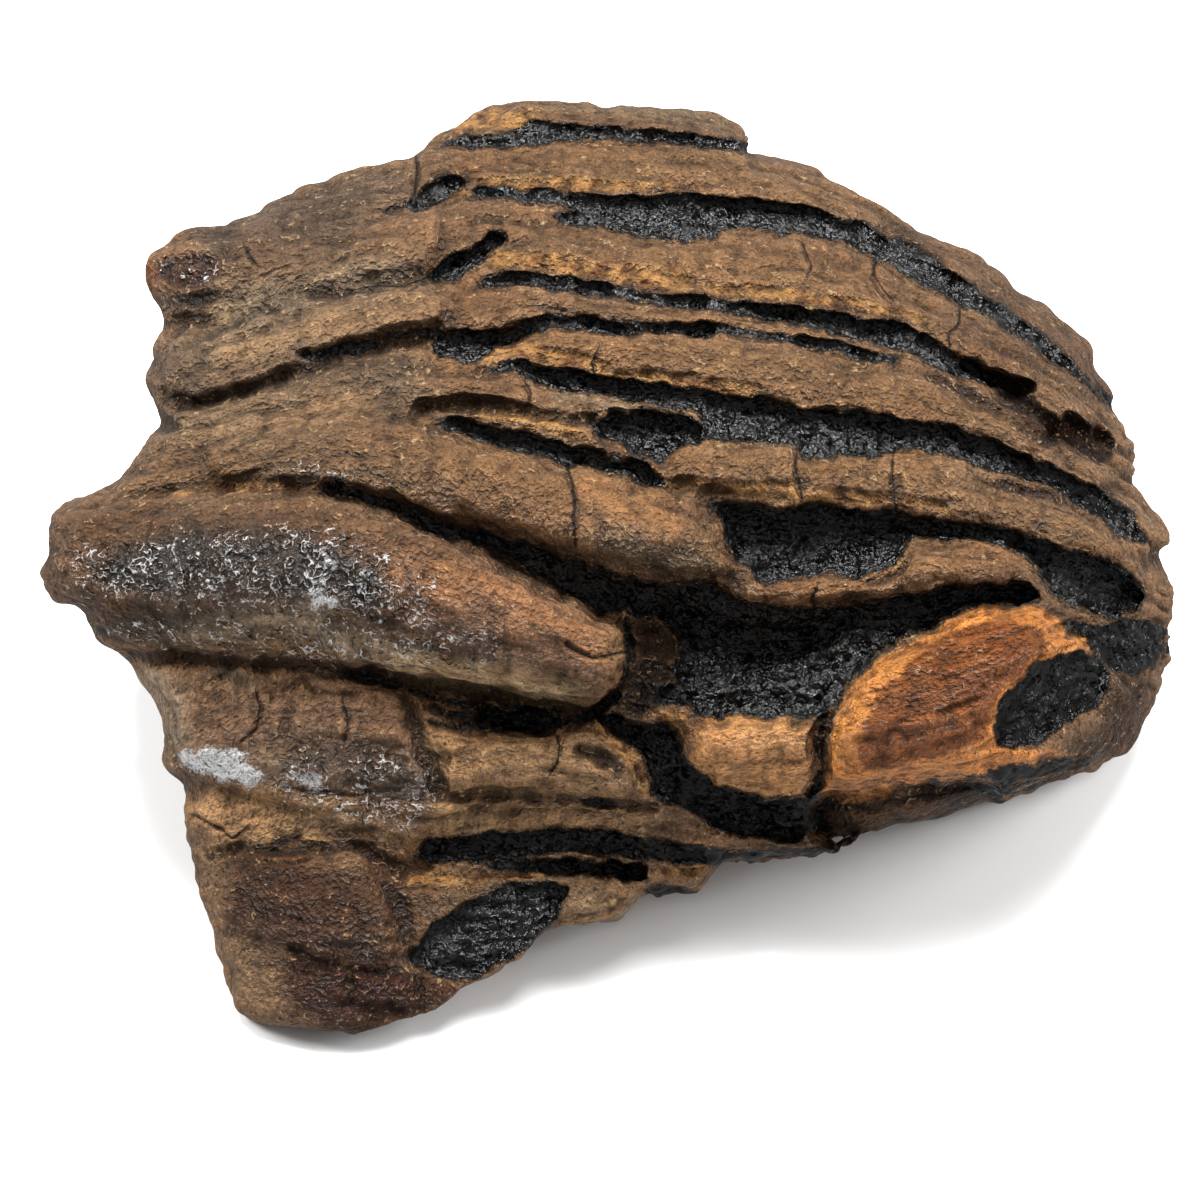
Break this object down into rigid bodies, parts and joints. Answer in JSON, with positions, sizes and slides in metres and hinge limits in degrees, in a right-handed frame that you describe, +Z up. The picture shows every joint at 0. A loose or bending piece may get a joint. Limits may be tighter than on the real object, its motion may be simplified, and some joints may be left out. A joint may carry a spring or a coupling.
{
  "type": "fossil mammoth tooth",
  "caption": "Partial fossil molar with curved enamel ridge plates, dark cementum between them and broken root stubs, lying on its broken underside.",
  "frame": {"origin": "on the table plane, under the centre of the tooth's bounding box", "axes": "+X from the root stubs towards the chewing face, +Y away from the side that shows best, +Z up from the resting face"},
  "size_m": [0.1934, 0.1534, 0.0917],
  "materials": {
    "fossil_tooth": "mineralised brown enamel and dentine plates, dull and finely pitted, with glossy black cementum in the valleys and greyer roots"
  },
  "bodies": {
    "root": {"tooth": "fossil_tooth"}
  },
  "joints": []
}
